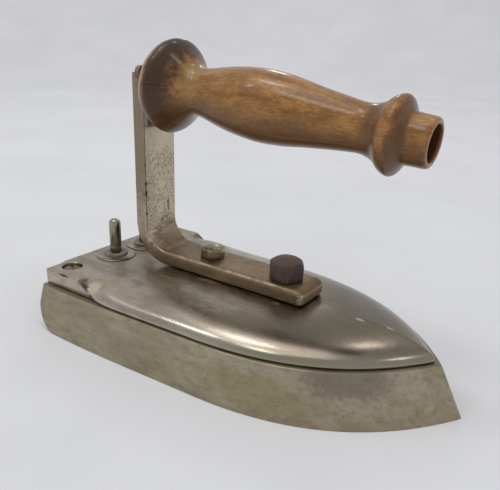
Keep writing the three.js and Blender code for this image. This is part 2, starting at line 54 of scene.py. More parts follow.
HEEL_X = SOLE_LO.x
SOLE_LENGTH = SOLE_HI.x - SOLE_LO.x
SOLE_TOP = SOLE_HI.z
COVER_FOOT = COVER_LO.z
CROWN = COVER_HI.z
BAR_THICK = 6.35 * MM
BAR_HALF = BAR_HI.y
BAR_FRONT_X = BAR_LO.x + BAR_THICK
FOOT_BOTTOM = BAR_LO.z
FOOT_TOP = FOOT_BOTTOM + BAR_THICK
DECK = FOOT_BOTTOM - 2.6 * MM  # the flat rear deck lies below the crown
HANDLE_TILT = math.radians(5.1)
HANDLE_Z = BAR_HI.z - 4.4 * MM
HANDLE_FRAME = Matrix.Translation((BAR_FRONT_X, 0, HANDLE_Z)) @ Matrix.Rotation(HANDLE_TILT, 4, "Y")
ROD_FRAME = HANDLE_FRAME @ Matrix.Rotation(math.pi / 2, 4, "Y")  # its Z runs along the grip


def middle(node):
    low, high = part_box(node)
    return (low + high) / 2


def upright(node):
    """The corners of a node's box, and the move that puts a turned body on its upright axis."""
    low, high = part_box(node)
    centre = middle(node)
    return low, high, Matrix.Translation((centre.x, centre.y, 0))


# ---- mesh helpers ----
def new_object(name, mesh):
    piece = bpy.data.objects.new(name, mesh)
    bpy.context.scene.collection.objects.link(piece)
    return piece


def mesh_object(name, points, faces):
    mesh = bpy.data.meshes.new(name)
    mesh.from_pydata([tuple(p) for p in points], [], faces)
    work = bmesh.new()
    work.from_mesh(mesh)
    bmesh.ops.remove_doubles(work, verts=work.verts, dist=1e-7)
    bmesh.ops.dissolve_degenerate(work, edges=work.edges, dist=1e-8)
    bmesh.ops.recalc_face_normals(work, faces=work.faces)
    work.to_mesh(mesh)
    work.free()
    return new_object(name, mesh)


def loft(name, rings, caps="fan"):
    """A closed body through rings of equal length. Caps are a fan, a mirrored strip, or none for a loop."""
    count = len(rings[0])
    points = [point for ring in rings for point in ring]
    faces = []
    steps = len(rings) if caps == "loop" else len(rings) - 1
    for i in range(steps):
        low = i * count
        high = ((i + 1) % len(rings)) * count
        for j in range(count):
            k = (j + 1) % count
            faces.append((low + j, low + k, high + k, high + j))
    for start in (0, (len(rings) - 1) * count):
        if caps == "fan":
            faces.append(tuple(range(start, start + count)))
        elif caps == "strip":
            last = start + count - 1
            for j in range(count // 2 - 1):
                faces.append((start + j, start + j + 1, last - j - 1, last - j))
    return mesh_object(name, points, faces)


def full_turn(count):
    return [2 * math.pi * i / count for i in range(count)]


def lathe(name, profile, segments, place, caps="fan"):
    """Turns a profile of (radius, height) about Z, then moves it by the matrix place."""
    rings = []
    for radius, height in profile:
        rings.append([place @ Vector((radius * math.cos(angle), radius * math.sin(angle), height))
                      for angle in full_turn(segments)])
    return loft(name, rings, caps)


def smooth_by_angle(piece, degrees=35):
    for face in piece.data.polygons:
        face.use_smooth = True
    piece.data.set_sharp_from_angle(angle=math.radians(degrees))


def apply_modifiers(piece):
    graph = bpy.context.evaluated_depsgraph_get()
    result = bpy.data.meshes.new_from_object(piece.evaluated_get(graph))
    piece.modifiers.clear()
    piece.data = result


def even_normals(piece):
    """Weights the shading by face area, so that slivers left by a boolean don't show."""
    modifier = piece.modifiers.new("even", "WEIGHTED_NORMAL")
    modifier.keep_sharp = True
    apply_modifiers(piece)


def boolean(piece, tools, operation):
    """Joins or cuts with closed meshes, which are used up."""
    for tool in tools:
        modifier = piece.modifiers.new("cut", "BOOLEAN")
        modifier.operation = operation
        modifier.solver = "MANIFOLD"
        modifier.object = tool
        apply_modifiers(piece)
        bpy.data.objects.remove(tool)
    return piece


def paint(piece, look):
    piece.data.materials.clear()
    piece.data.materials.append(MATERIALS[look])


def finish_piece(piece, look, slot, *nodes, sharp=35):
    """Smooths and colours a piece, puts it under the root body, and hides the frame's parts that it stands
    for.
    """
    smooth_by_angle(piece, sharp)
    paint(piece, look)
    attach(piece, "root")
    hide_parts(*nodes)
    return piece


TOOL_SEGMENTS = 48


def post(x, y, radius, low, high):
    """An upright round cutting tool."""
    return lathe("tool", [(radius, low), (radius, high)], TOOL_SEGMENTS, Matrix.Translation((x, y, 0)))


def rod_hole(radius, reach):
    """A cutting tool along the through rod, to either side of the bar's front. Both in millimetres."""
    return lathe("tool", [(radius * MM, -reach * MM), (radius * MM, reach * MM)], TOOL_SEGMENTS, ROD_FRAME)


def smoothstep(low, high, value):
    t = min(max((value - low) / (high - low), 0), 1)
    return t * t * (3 - 2 * t)


def mix(a, b, t):
    return a + (b - a) * t


def soft_min(a, b, width):
    """The smaller of two heights, with the crease between them rounded over a width."""
    h = max(width - abs(a - b), 0) / width
    return min(a, b) - h * h * width / 4


def bezier(p0, p1, p2, p3, count):
    """Points of a cubic curve, without its last one."""
    points = []
    for i in range(count):
        t = i / count
        s = 1 - t
        weights = (s ** 3, 3 * s * s * t, 3 * s * t * t, t ** 3)
        points.append(tuple(sum(w * c for w, c in zip(weights, parts)) for parts in zip(p0, p1, p2, p3)))
    return points


def spline(points, count):
    """Evenly spread points of a smooth curve through the given ones."""
    result = []
    last = len(points) - 1
    for i in range(count):
        place = i / (count - 1) * last
        k = min(int(place), last - 1)
        t = place - k
        p0, p1 = points[max(k - 1, 0)], points[k]
        p2, p3 = points[k + 1], points[min(k + 2, last)]
        value = []
        for a, b, c, d in zip(p0, p1, p2, p3):
            value.append(0.5 * (2 * b + (c - a) * t + (2 * a - 5 * b + 4 * c - d) * t * t
                                + (3 * b - a - 3 * c + d) * t ** 3))
        result.append(tuple(value))
    return result


# ---- the boat outline, as in the CAD ----
NOSE_RADIUS = 0.9
NOSE_HALF_ANGLE = math.atan2(32, 20.5)  # of the outline's last stretch


def boat_half():
    """One side of the sole's bottom edge in millimetres from the heel, from the rear middle to the nose."""
    length = SOLE_LENGTH / MM
    wide = 49.6
    heel = wide - 0.8  # half the width at the heel's corners
    corner = 1.5
    waist = (90, wide - 2)  # from here the sides run in to the nose
    points = [(0, wide * i / 12) for i in range(1, 12)]
    points += bezier((0, heel - corner), (0, wide - 1.3), (0.5, heel), (corner, heel), 6)
    points += bezier((corner, heel), (35, wide + 0.9), (55, heel), waist, 130)
    flank = bezier(waist, (130, wide - 3.2), (156, 32), (length, 0), 110)
    centre = length - NOSE_RADIUS / math.sin(NOSE_HALF_ANGLE)
    reach = math.pi / 2 - NOSE_HALF_ANGLE
    limit = centre + NOSE_RADIUS * math.cos(reach)
    points += [p for p in flank if p[0] < limit - 0.2]
    for i in range(5):
        angle = reach * (1 - (i + 0.5) / 5)
        points.append((centre + NOSE_RADIUS * math.cos(angle), NOSE_RADIUS * math.sin(angle)))
    widest = max(y for _, y in points)
    fit = SOLE_HI.y / MM / widest
    return [(x, y * fit) for x, y in points]


BOAT = boat_half()


def boat_ring(scale, height, inset=0.0):
    """A closed ring of the outline, in metres. scale and height may be functions of the outline's x."""
    right = []
    for i, (x, y) in enumerate(BOAT):
        before = BOAT[max(i - 1, 0)]
        after = BOAT[min(i + 1, len(BOAT) - 1)]
        tangent = Vector((after[0] - before[0], after[1] - before[1])).normalized()
        scale_x, scale_y = scale(x) if callable(scale) else scale
        z = height(x) if callable(height) else height
        spot = (HEEL_X / MM + x * scale_x + tangent.y * inset, -(y * scale_y - tangent.x * inset), z)
        right.append(Vector(spot) * MM)
    left = [Vector((spot.x, -spot.y, spot.z)) for spot in reversed(right)]
    return right + left


# ---- sole plate ----
TOP_SCALE = (0.945, 0.88)
HEEL_ROLL = 15.0


def build_sole():
    full = SOLE_TOP / MM
    edge = 0.45

    def height_at(level):
        def height(x):
            back = max(HEEL_ROLL - x, 0)
            drop = HEEL_ROLL - math.sqrt(max(HEEL_ROLL ** 2 - back ** 2, 0))
            return drop + level * (full - drop) / full
        return height

    def ring(level, inset):
        height = height_at(level)

        def scale(x):
            lean = height(x) / full
            return mix(1, TOP_SCALE[0], lean), mix(1, TOP_SCALE[1], lean)
        return boat_ring(scale, height, inset)

    rounding = ((0, 1), (0.12, 0.4), (0.45, 0.1), (1, 0))  # height and inset, in parts of the edge
    levels = [(edge * up, edge * inset) for up, inset in rounding]
    levels += [(full * i / 8, 0) for i in range(1, 8)]
    levels += [(full - edge * up, edge * inset) for up, inset in reversed(rounding)]
    sole = loft("sole", [ring(level, inset) for level, inset in levels], "strip")
    pocket_floor = 9.0
    pocket_rear = 17.0
    pocket_scale = (0.86, 0.74)
    pocket = loft("tool", [boat_ring(pocket_scale, z) for z in (pocket_floor, full + 1)], "strip")
    for corner in pocket.data.vertices:
        corner.co.x = max(corner.co.x, HEEL_X + pocket_rear * MM)
    return boolean(sole, [pocket], "DIFFERENCE")


# ---- cover ----
COVER_SCALE = (0.931, 0.853)
LUG = {"half": 40.7, "front": 21.2, "toe": 31.4, "rear": 0.8, "edge": 0.35}
RECESS = {"x": 7.6, "y": 31.8, "radius": 4.5, "depth": 3.0, "hole": 2.75}
COVER_WALL = 3.0


def drawn_in(x):
    """The dome's sides draw in behind its shoulder, so that they vanish into the lugs."""
    return mix(0.962, 1, smoothstep(24, 46, x))


def deck_ramp(x):
    """Height of the flat rear deck and of the ramp that joins it to the crown."""
    return mix(DECK / MM - 0.03, CROWN / MM + 1.0, smoothstep(20, 62, x))


def lug_slope(level):
    """How far from the heel the lugs' sloping front is, at a height in millimetres."""
    part = (DECK / MM - level) / (DECK / MM - COVER_FOOT / MM)
    return mix(LUG["front"], LUG["toe"], min(max(part, 0), 1))


def dome(drop, wide, inset, count):
    """The hollow cover's outer or inner face: a skirt that rounds over to the crown, steeper at the rear."""
    foot = COVER_FOOT / MM - drop / 3
    skirt = foot + 0.5
    top = CROWN / MM - drop

    def ring(level, inward, pull):
        def scale(x):
            steep = mix(0.55, 1, smoothstep(26, 62, x))
            scale_x = wide[0] - inset[0] * inward
            ahead = x * scale_x - lug_slope(level)
            tuck = 0.012 * (1 - smoothstep(-0.5, 3.5, ahead))
            return scale_x, (wide[1] - inset[1] * inward * steep) * drawn_in(x) * (1 - tuck)

        def height(x):
            ramp = deck_ramp(x * scale(x)[0]) - drop
            shoulder = mix(5.0, 1.6, smoothstep(30, 60, x))
            return min(level, soft_min(level + 8 * inward ** 2, ramp, shoulder))
        return boat_ring(scale, height, pull)

    rings = [ring(foot + 0.15, 0, 0.35), ring(foot + 0.25, 0, 0.08), ring(skirt, 0, 0)]
    for i in range(1, count + 1):
        angle = i / count * math.pi / 2
        rings.append(ring(skirt + (top - skirt) * math.sin(angle), 1 - math.cos(angle), 0))
    return loft("cover", rings, "strip")


def lug_block():
    """The flat rear deck with its square corners, as one block with a sloping front."""
    foot, top = COVER_FOOT / MM + 0.15, DECK / MM
    outline = [(LUG["rear"], foot), (LUG["toe"], foot), (LUG["front"], top), (LUG["rear"], top)]
    rings = []
    for y in (-LUG["half"], LUG["half"]):
        rings.append([Vector((HEEL_X + x * MM, y * MM, z * MM)) for x, z in outline])
    block = loft("tool", rings)
    work = bmesh.new()
    work.from_mesh(block.data)
    bmesh.ops.bevel(work, geom=work.edges[:], offset=LUG["edge"] * MM, segments=3, profile=0.5,
                    affect="EDGES", clamp_overlap=True)
    bmesh.ops.recalc_face_normals(work, faces=work.faces)
    work.to_mesh(block.data)
    work.free()
    return block


def build_cover():
    cover = dome(0, COVER_SCALE, (0.28, 0.65), 44)
    boolean(cover, [lug_block()], "UNION")
    inner = dome(COVER_WALL, (COVER_SCALE[0] - 0.035, COVER_SCALE[1] - 0.07), (0.26, 0.6), 10)
    for corner in inner.data.vertices:
        corner.co.x = max(corner.co.x, HEEL_X + (LUG["rear"] + COVER_WALL) * MM)
    cuts = [inner]
    radius = RECESS["radius"] * MM
    seat = DECK - RECESS["depth"] * MM
    recess = [(radius, seat), (radius, DECK - 0.3 * MM), (radius + 0.5 * MM, DECK + 0.2 * MM)]
    for side in (-1, 1):
        x, y = HEEL_X + RECESS["x"] * MM, side * RECESS["y"] * MM
        cuts.append(lathe("tool", recess, 64, Matrix.Translation((x, y, 0))))
        cuts.append(post(x, y, RECESS["hole"] * MM, SOLE_TOP - 1 * MM, DECK))
    return boolean(cover, cuts, "DIFFERENCE")


# ---- cover screws ----
def build_cover_screw(name, node):
    low, high, place = upright(node)
    radius = (high.x - low.x) / 2
    seat = high.z - 2 * MM
    shank = 2.4 * MM
    profile = [(shank, low.z), (shank, seat), (radius - 0.1 * MM, seat), (radius, seat + 0.2 * MM),
               (radius, high.z - 0.6 * MM), (radius - 0.15 * MM, high.z - 0.3 * MM),
               (radius - 0.6 * MM, high.z - 0.05 * MM), (radius * 0.5, high.z)]
    screw = lathe(name, profile, 48, place)
    slot_half = 0.6 * MM
    reach = radius + 1 * MM
    turned = place @ Matrix.Rotation(math.copysign(0.6, low.y), 4, "Z")
    rings = []
    for z in (high.z - 1 * MM, high.z + 1 * MM):
        corners = ((-reach, -slot_half), (reach, -slot_half), (reach, slot_half), (-reach, slot_half))
        rings.append([turned @ Vector((x, y, z)) for x, y in corners])
    return boolean(screw, [loft("tool", rings)], "DIFFERENCE")


# ---- contact pins ----
def build_pin(name, node):
    low, high, place = upright(node)
    radius = (high.x - low.x) / 2
    shank = 2 * MM
    shoulder = 27.55 * MM
    tip = high.z
    profile = [(shank, low.z), (shank, shoulder), (radius - 0.1 * MM, shoulder),
               (radius, shoulder + 0.2 * MM)]
    rounded = 2.3 * MM
    for i in range(0, 11):
        angle = i / 10 * math.pi / 2
        profile.append((radius * max(math.cos(angle), 0.03) ** 0.75, tip - rounded * (1 - math.sin(angle))))
    return lathe(name, profile, 64, place)


def build_washer(name, node):
    low, high, place = upright(node)
    outer = (high.x - low.x) / 2
    inner = 4.6 * MM
    edge = 0.18 * MM
    profile = [(inner, low.z), (outer - edge, low.z), (outer, low.z + edge), (outer, high.z - edge),
               (outer - edge, high.z), (outer - 1.6 * MM, high.z), (outer - 1.9 * MM, high.z - 0.15 * MM),
               (outer - 2.3 * MM, high.z - 0.15 * MM), (outer - 2.6 * MM, high.z), (inner, high.z)]
    return lathe(name, profile, 72, place, "loop")


def build_bushing(name, node):
    low, high, place = upright(node)
    collar = (high.x - low.x) / 2
    neck, bore = 4.2 * MM, 2.35 * MM
    seat = DECK + 0.7 * MM
    edge = 0.4 * MM
    profile = [(bore, low.z), (neck, low.z), (neck, seat), (collar - 0.1 * MM, seat),
               (collar, seat + 0.2 * MM), (collar, high.z - edge),
               (collar - edge * 0.3, high.z - edge * 0.3), (collar - edge, high.z),
               (3.9 * MM, high.z), (3.6 * MM, high.z - 0.3 * MM), (bore, high.z - 0.3 * MM)]
    return lathe(name, profile, 72, place, "loop")


# ---- handle bracket ----
INNER_BEND = 11 * MM


def bar_path():
    """Stations along the bar's middle, from the foot's front up: point, normal, distances to the ends."""
    centre_r = INNER_BEND + BAR_THICK / 2
    bend_x = BAR_FRONT_X + INNER_BEND
    bend_z = FOOT_TOP + INNER_BEND
    foot_length = BAR_HI.x - bend_x
    arc_length = centre_r * math.pi / 2
    rise = BAR_HI.z - bend_z
    total = foot_length + arc_length + rise
    step = 0.6 * MM
    ends = [d * MM for d in (0, 0.05, 0.15, 0.3, 0.5, 0.8, 1.2, 1.7)]
    after_ends = 2.3 * MM
    places = ends[:]
    place = after_ends
    while place < total - after_ends:
        places.append(place)
        place += step
    places += [total - d for d in reversed(ends)]
    stations = []
    for place in places:
        if place <= foot_length:
            point = Vector((BAR_HI.x - place, 0, FOOT_BOTTOM + BAR_THICK / 2))
            normal = Vector((0, 0, 1))
        elif place <= foot_length + arc_length:
            angle = (place - foot_length) / centre_r
            normal = Vector((math.sin(angle), 0, math.cos(angle)))
            point = Vector((bend_x, 0, bend_z)) - normal * centre_r
        else:
            point = Vector((BAR_LO.x + BAR_THICK / 2, 0, bend_z + place - foot_length - arc_length))
            normal = Vector((1, 0, 0))
        stations.append((point, normal, place, total - place))
    return stations


def rounded_section(half_width, half_thick, radius):
    """A rectangle with quarter circles at its corners, and more points along its sides."""
    per_corner = 5
    per_side = 9
    arcs = []
    for across, up, start in ((1, -1, -90), (1, 1, 0), (-1, 1, 90), (-1, -1, 180)):
        angles = [math.radians(start + 90 * i / per_corner) for i in range(per_corner + 1)]
        arcs.append([(across * (half_width - radius) + radius * math.cos(angle),
                      up * (half_thick - radius) + radius * math.sin(angle)) for angle in angles])
    points = []
    for arc, following in zip(arcs, arcs[1:] + arcs[:1]):
        points += arc
        (x, z), (next_x, next_z) = arc[-1], following[0]
        points += [(mix(x, next_x, i / per_side), mix(z, next_z, i / per_side)) for i in range(1, per_side)]
    return points


NICKS = (  # in the bar's corner: height, size, depth
    (63.3, 1.0, 0.6), (59.2, 1.3, 0.65), (72.0, 0.7, 0.25), (50.0, 0.7, 0.25),
)


def build_bracket():
    foot_round, top_round = 2.2 * MM, 0.9 * MM
    worn_depth, worn_length = 1.4 * MM, 5 * MM
    inward = Vector((-0.6, 0.8, 0))  # from the bar's corner into the metal
    rings = []
    for point, normal, from_foot, from_top in bar_path():
        near_end = min(from_foot / foot_round, from_top / top_round, 1)
        reach = foot_round if from_foot < from_top else top_round
        inset = reach * (1 - math.sqrt(max(1 - (1 - near_end) ** 2, 0)))
        half_thick = BAR_THICK / 2 - inset * 0.5
        radius = mix(1.8, 0.5, smoothstep(60 * MM, 84 * MM, from_foot)) * MM
        worn_over = worn_depth * (1 - min(from_foot / worn_length, 1)) ** 2
        section = rounded_section(BAR_HALF - inset, half_thick, min(radius, half_thick - 0.3 * MM))
        ring = []
        for across, up in section:
            up -= worn_over * max(up, 0) / (BAR_THICK / 2)
            spot = point + Vector((0, across, 0)) + normal * up
            for height, size, depth in NICKS:
                edge = Vector((BAR_FRONT_X, -BAR_HALF, height * MM))
                gap = (spot - edge).length / (size * MM)
                if gap < 1.6:
                    push = depth * MM * math.exp(-gap * gap * 1.4)
                    spot += inward * push
            ring.append(spot)
        rings.append(ring)
    bracket = loft("bracket", rings)
    cuts = []
    for bolt, radius in (("clamp_bolt", 4.25), ("bracket_bolt", 3.15)):
        cuts.append(post(middle(bolt).x, 0, radius * MM, FOOT_BOTTOM - 2 * MM, FOOT_TOP + 2 * MM))
    cuts.append(rod_hole(BORE["rod"], 15))
    return boolean(bracket, cuts, "DIFFERENCE")


# ---- bolts ----
BOLT_DOME = 10.5 * MM  # radius of the heads' round tops


def build_hex_bolt(name, node, flats, turn, shank):
    """A hexagon head, rounded off on top by a dome, with soft edges, on its shank."""
    low, high, place = upright(node)
    foot = FOOT_TOP + 0.05 * MM
    segments = 144
    apothem = flats / 2 * MM
    softness = 60  # the higher, the sharper the six corners

    def reach(angle):
        total = 0
        for i in range(6):
            side = math.cos(angle - turn - (i + 0.5) * math.pi / 3)
            total += max(side / apothem, 0) ** softness
        return total ** (-1 / softness)

    def dome_height(radius):
        return high.z - BOLT_DOME + math.sqrt(max(BOLT_DOME ** 2 - radius * radius, 0))

    def ring(shape):
        points = []
        for angle in full_turn(segments):
            radius, z = shape(angle)
            points.append(place @ Vector((radius * math.cos(angle), radius * math.sin(angle), z)))
        return points

    edge = 0.22 * MM
    rings = [ring(lambda a: (shank * MM, low.z)), ring(lambda a: (shank * MM, foot)),
             ring(lambda a: (reach(a) - edge, foot)), ring(lambda a: (reach(a), foot + edge))]
    for t in (0.3, 0.6, 0.85, 1):
        rings.append(ring(lambda a, t=t: (reach(a), mix(foot, dome_height(reach(a)) - edge * 1.6, t))))
    rings += [ring(lambda a: (reach(a) - edge * 0.35, dome_height(reach(a)) - edge * 0.55)),
              ring(lambda a: (reach(a) - edge * 1.2, dome_height(reach(a) - edge * 1.2)))]
    for t in (0.85, 0.7, 0.55, 0.4, 0.25, 0.1):
        rings.append(ring(lambda a, t=t: ((reach(a) - edge) * t, dome_height((reach(a) - edge) * t))))
    return loft(name, rings)


# ---- wooden grip ----
BORE = {"radius": 6.4, "depth": 26.0, "rod": 3.25}
GRIP_START = 0.9
GRIP_END = 120.4
GRIP_PROFILE = (  # radius and distance from the bar, in millimetres, as in the CAD
    (13, 0.9), (14.8, 2.6), (16.6, 4.4), (18.3, 6.8), (19.1, 9.4), (18.8, 11.2), (17.2, 13.4),
    (14.4, 16.2), (11.9, 18.8), (10.2, 21.4), (9.6, 24.4), (10.1, 28.5), (11.3, 34), (12.6, 41),
    (13.4, 48.5), (13.7, 56), (12.9, 65.5), (11.4, 74.5), (10.1, 83.5), (9.1, 91.5), (8.8, 96),
    (9.5, 99.8), (10.7, 102.4), (12.9, 105), (13.9, 107.6), (13.2, 109.2), (11.2, 110.5),
    (9.3, 111.8), (8.9, 114), (8.7, 118.4),
)
INSIDE_CAD = 0.999  # the finely cut grip stays inside the CAD one
CRACK_HEIGHT = 2.0  # of the check in the flange above the grip's axis


def build_grip():
    outside = spline(GRIP_PROFILE, 260)
    lip = [(8.55, GRIP_END - 0.9), (8.3, GRIP_END - 0.35), (7.8, GRIP_END - 0.05), (7.2, GRIP_END)]
    mouth = [(BORE["radius"] + 0.35, GRIP_END), (BORE["radius"] + 0.1, GRIP_END - 0.2),
             (BORE["radius"], GRIP_END - 0.6)]
    bore = [(BORE["radius"], GRIP_END - BORE["depth"] * i / 8) for i in range(1, 9)]
    inside = [(BORE["rod"], GRIP_END - BORE["depth"]), (BORE["rod"], GRIP_START)]
    face = [(radius, GRIP_START) for radius in (6, 9, 12)]
    rings = []
    spacer = (SPACER_HI.x - BAR_FRONT_X) / MM + 0.3
    segments = 200
    crack_depth, crack_half = 0.35, 0.22
    for radius, along in outside + lip + mouth + bore + inside + face:
        radius *= INSIDE_CAD
        ring = []
        for angle in full_turn(segments):
            up, across = radius * math.sin(angle), radius * math.cos(angle)
            rise = up * math.sin(HANDLE_TILT)
            rear = (spacer - rise) / math.cos(HANDLE_TILT) + 2 * rise
            flange = smoothstep(2, 5, along) * (1 - smoothstep(15, 19, along))
            crack = flange * math.exp(-((up - CRACK_HEIGHT) / crack_half) ** 2)
            groove = crack_depth * crack if across < 0 else 0
            scale = (radius - groove) / radius
            place = Vector((max(along, rear) * MM, across * scale * MM, up * scale * MM))
            ring.append(HANDLE_FRAME @ place)
        rings.append(ring)
    return loft("grip", rings, "loop")


def build_spacer():
    """A fibre plate, wider above than below, between the bar and the grip."""
    narrow = BAR_HALF - 0.1 * MM
    wide = SPACER_HI.y
    low, top = SPACER_LO.z, SPACER_HI.z
    rise = (top - low) / 25
    side = [(narrow - 0.5 * MM, low), (narrow, low + 0.5 * MM), (narrow, low + 7.5 * rise),
            (wide, low + 17.5 * rise), (wide, top - 2 * MM), (wide - 0.6 * MM, top - 0.6 * MM),
            (wide - 2 * MM, top)]
    outline = side + [(-y, z) for y, z in reversed(side)]
    edge = 0.15 * MM
    middle_z = (low + top) / 2
    back, front = SPACER_LO.x, SPACER_HI.x
    rings = []
    for x, shrink in ((back, edge), (back + edge, 0), (front - edge, 0), (front, edge)):
        rings.append([Vector((x, y - math.copysign(shrink, y), z - math.copysign(shrink, z - middle_z)))
                      for y, z in outline])
    return boolean(loft("spacer", rings), [rod_hole(3.6, 10)], "DIFFERENCE")


def build_rod():
    """The through rod: a low round head behind the bar, its other end in the grip's bore."""
    head = 5.6
    front = -(BAR_THICK / MM) - 1.2
    rear = front - 3
    stud = GRIP_END - BORE["depth"] + 8.4
    profile = [(0.6, rear), (2.6, rear + 0.15), (4.0, rear + 0.6), (5.0, rear + 1.3), (head, rear + 2.3),
               (head, front - 0.2), (head - 0.2, front), (2.9, front), (2.9, stud - 0.5), (2.4, stud)]
    return lathe("rod", [(r * MM, h * MM) for r, h in profile], 64, ROD_FRAME)


# ---- materials ----
class Graph:
    """Short names for the nodes that the materials are made of."""

    def __init__(self, name):
        self.material = bpy.data.materials.new(name)
        self.material.use_nodes = True
        self.tree = self.material.node_tree
        self.shader = self.tree.nodes["Principled BSDF"]
        self.object = self.node("ShaderNodeTexCoord").outputs["Object"]

    def node(self, kind, **settings):
        node = self.tree.nodes.new(kind)
        for key, value in settings.items():
            setattr(node, key, value)
        return node

    def feed(self, socket, value):
        if isinstance(value, bpy.types.NodeSocket):
            self.tree.links.new(value, socket)
        elif socket.type == "RGBA":
            socket.default_value = (*value, 1)
        else:
            socket.default_value = value

    def fill(self, node, **values):
        """Feeds the sockets that the keys name, with underscores for spaces."""
        for key, value in values.items():
            self.feed(node.inputs[key.replace("_", " ")], value)
        return node

    def stretch(self, scale, rotation=(0, 0, 0), shift=(0, 0, 0)):
        node = self.node("ShaderNodeMapping")
        self.fill(node, Vector=self.object, Scale=scale, Rotation=rotation, Location=shift)
        return node.outputs["Vector"]

    def noise(self, scale, detail=4, rough=0.55, distortion=0.0, vector=None):
        node = self.node("ShaderNodeTexNoise")
        self.fill(node, Vector=vector or self.object, Scale=scale, Detail=detail, Roughness=rough,
                  Distortion=distortion)
        return node.outputs["Fac"]

    def band(self, value, low, high, out_low=0.0, out_high=1.0):
        """A smooth step from out_low to out_high, while the value goes from low to high."""
        node = self.node("ShaderNodeMapRange", clamp=True, interpolation_type="SMOOTHSTEP")
        self.fill(node, Value=value, From_Min=low, From_Max=high, To_Min=out_low, To_Max=out_high)
        return node.outputs["Result"]

    def math(self, operation, a, b=0.5, c=None):
        node = self.node("ShaderNodeMath", operation=operation)
        self.feed(node.inputs[0], a)
        self.feed(node.inputs[1], b)
        if c is not None:
            self.feed(node.inputs[2], c)
        return node.outputs[0]

    def vectors(self, operation, a, b=(0, 0, 0)):
        node = self.node("ShaderNodeVectorMath", operation=operation)
        self.feed(node.inputs[0], a)
        self.feed(node.inputs[1], b)
        return node.outputs["Value" if operation == "LENGTH" else "Vector"]

    def blend(self, amount, a, b):
        """Goes from colour a to colour b. The numbers are the sockets of the node's colour mode."""
        node = self.node("ShaderNodeMix", data_type="RGBA")
        self.feed(node.inputs[0], amount)
        self.feed(node.inputs[6], a)
        self.feed(node.inputs[7], b)
        return node.outputs[2]

    def axis(self, name, vector=None):
        node = self.node("ShaderNodeSeparateXYZ")
        self.feed(node.inputs[0], vector or self.object)
        return node.outputs[name]

    def bump(self, height, depth, strength=1.0, normal=None):
        node = self.fill(self.node("ShaderNodeBump"), Height=height, Distance=depth, Strength=strength)
        if normal is not None:
            self.feed(node.inputs["Normal"], normal)
        return node.outputs["Normal"]

    def near(self, centre, reach, rough_edge=0.0):
        """1 inside an ellipsoid and 0 outside it. Centre and reach are in millimetres, x from the heel."""
        spot = (HEEL_X + centre[0] * MM, centre[1] * MM, centre[2] * MM)
        scale = [1 / (r * MM) for r in reach]
        distance = self.vectors("MULTIPLY", self.vectors("SUBTRACT", self.object, spot), scale)
        distance = self.vectors("LENGTH", distance)
        if rough_edge:
            ragged = self.math("MULTIPLY_ADD", self.noise(500, 4, 0.6), rough_edge, -rough_edge / 2)
            distance = self.math("ADD", distance, ragged)
        return self.band(distance, 0.45, 1.0, 1, 0)

    def facing(self, name):
        """A component of the surface's own normal in the CAD frame."""
        return self.axis(name, self.node("ShaderNodeNewGeometry").outputs["Normal"])

    def pits(self, scale, size, cluster_scale, low, high):
        """Small dark pits that come in clusters: 1 in a pit."""
        cells = self.fill(self.node("ShaderNodeTexVoronoi"), Vector=self.object, Scale=scale)
        spots = self.band(cells.outputs["Distance"], size * 0.45, size, 1, 0)
        clusters = self.band(self.noise(cluster_scale, 3, 0.6), low, high)
        return self.both(spots, clusters)

    def both(self, a, b):
        return self.math("MULTIPLY", a, b)

    def either(self, a, b):
        return self.math("MAXIMUM", a, b)

    def set(self, **values):
        self.fill(self.shader, **values)
        return self.material


RUST = (0.2, 0.085, 0.035)
# colour of the painted shade along the cover's foot
SEAM_SHADE_COLOUR = (0.045, 0.037, 0.028)


def nickel_base(g, light, dark, olive, warm):
    """Clouded nickel: soft clouds, finer mottling, olive and warm tarnish, fine rubbing along the iron."""
    along = g.stretch((0.45, 1, 1))
    clouds = g.noise(55, 4, 0.55, 0.3, along)
    mottle = g.noise(420, 5, 0.65, 0.2, along)
    rubbing = g.noise(650, 3, 0.6, 0, g.stretch((0.06, 1, 1)))
    olive_spots = g.noise(95, 5, 0.6, 0.4, along)
    warm_spots = g.noise(70, 4, 0.6, 0.4, g.stretch((0.5, 1, 1), shift=(3, 1, 2)))
    colour = g.blend(g.band(clouds, 0.34, 0.66), dark, light)
    colour = g.blend(g.band(olive_spots, 0.48, 0.7, 0, 0.6), colour, olive)
    colour = g.blend(g.band(warm_spots, 0.53, 0.7, 0, 0.55), colour, warm)
    colour = g.blend(g.band(mottle, 0.44, 0.72, 0, 0.34), colour, tuple(c * 0.55 for c in dark))
    colour = g.blend(g.band(rubbing, 0.5, 0.75, 0, 0.3), colour, tuple(c * 1.25 for c in light))
    return colour, clouds, mottle


